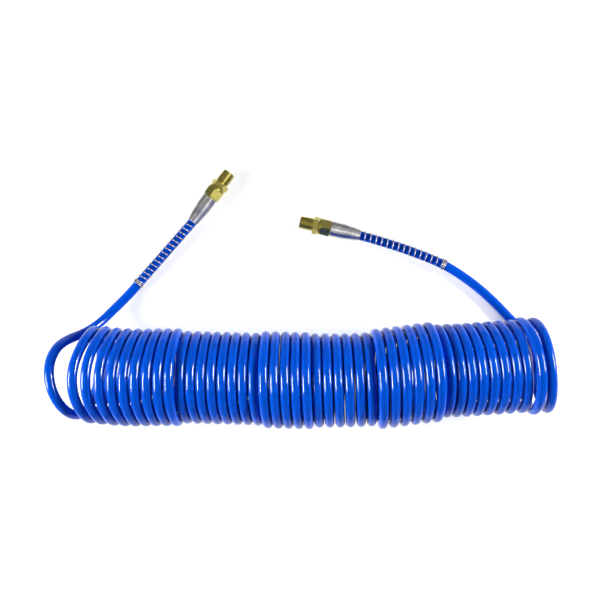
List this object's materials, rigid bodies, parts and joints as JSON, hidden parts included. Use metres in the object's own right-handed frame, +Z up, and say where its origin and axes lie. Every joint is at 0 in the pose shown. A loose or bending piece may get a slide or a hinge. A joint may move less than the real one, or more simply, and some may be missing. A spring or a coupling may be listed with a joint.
{
  "type": "coiled air hose",
  "caption": "Long coil of plastic air tube with a straight tail at each end, each ending in a spring bend guard and a swivelling male taper pipe-thread fitting.",
  "frame": {"origin": "centre of the bounding box on the floor that the hose lies on", "axes": "+Z up, +X along the coil from the supply end to the tool end, +Y from the coil towards the fittings"},
  "size_m": [0.4916, 0.261, 0.095],
  "materials": {
    "hose": "glossy extruded plastic tube, vivid blue, slightly translucent",
    "brass": "turned and milled brass, bright, fine tool marks",
    "spring_wire": "bright zinc-plated spring wire",
    "seal": "satin black rubber",
    "ring_steel": "drawn steel wire"
  },
  "bodies": {
    "supply_end": {"supply_swivel_stem": "brass", "supply_o_ring": "seal", "supply_retaining_ring": "ring_steel", "supply_compression_sleeve": "brass", "supply_compression_nut": "brass", "supply_spring_guard": "spring_wire", "supply_hose_tail": "hose", "hose_coil": "hose"},
    "supply_swivel": {"supply_thread_body": "brass"},
    "tool_end": {"tool_swivel_stem": "brass", "tool_o_ring": "seal", "tool_retaining_ring": "ring_steel", "tool_compression_sleeve": "brass", "tool_compression_nut": "brass", "tool_spring_guard": "spring_wire", "tool_hose_tail": "hose"},
    "tool_swivel": {"tool_thread_body": "brass"}
  },
  "joints": [
    {"name": "coil_stretch", "type": "slide", "parent": "supply_end", "child": "tool_end", "axis": [1, 0, 0], "range_m": [0, 3], "stiffness_N_per_m": 4, "springref_m": -0.2, "deforming": ["hose_coil"]},
    {"name": "supply_swivel_turn", "type": "hinge", "parent": "supply_end", "child": "supply_swivel", "pos_m": [-0.0764, 0.126, 0.00925], "axis": [0.6032, 0.7976, 0], "continuous": true},
    {"name": "tool_swivel_turn", "type": "hinge", "parent": "tool_end", "child": "tool_swivel", "pos_m": [-0.0042, 0.0755, 0.00925], "axis": [-0.9751, 0.2215, 0], "continuous": true}
  ]
}
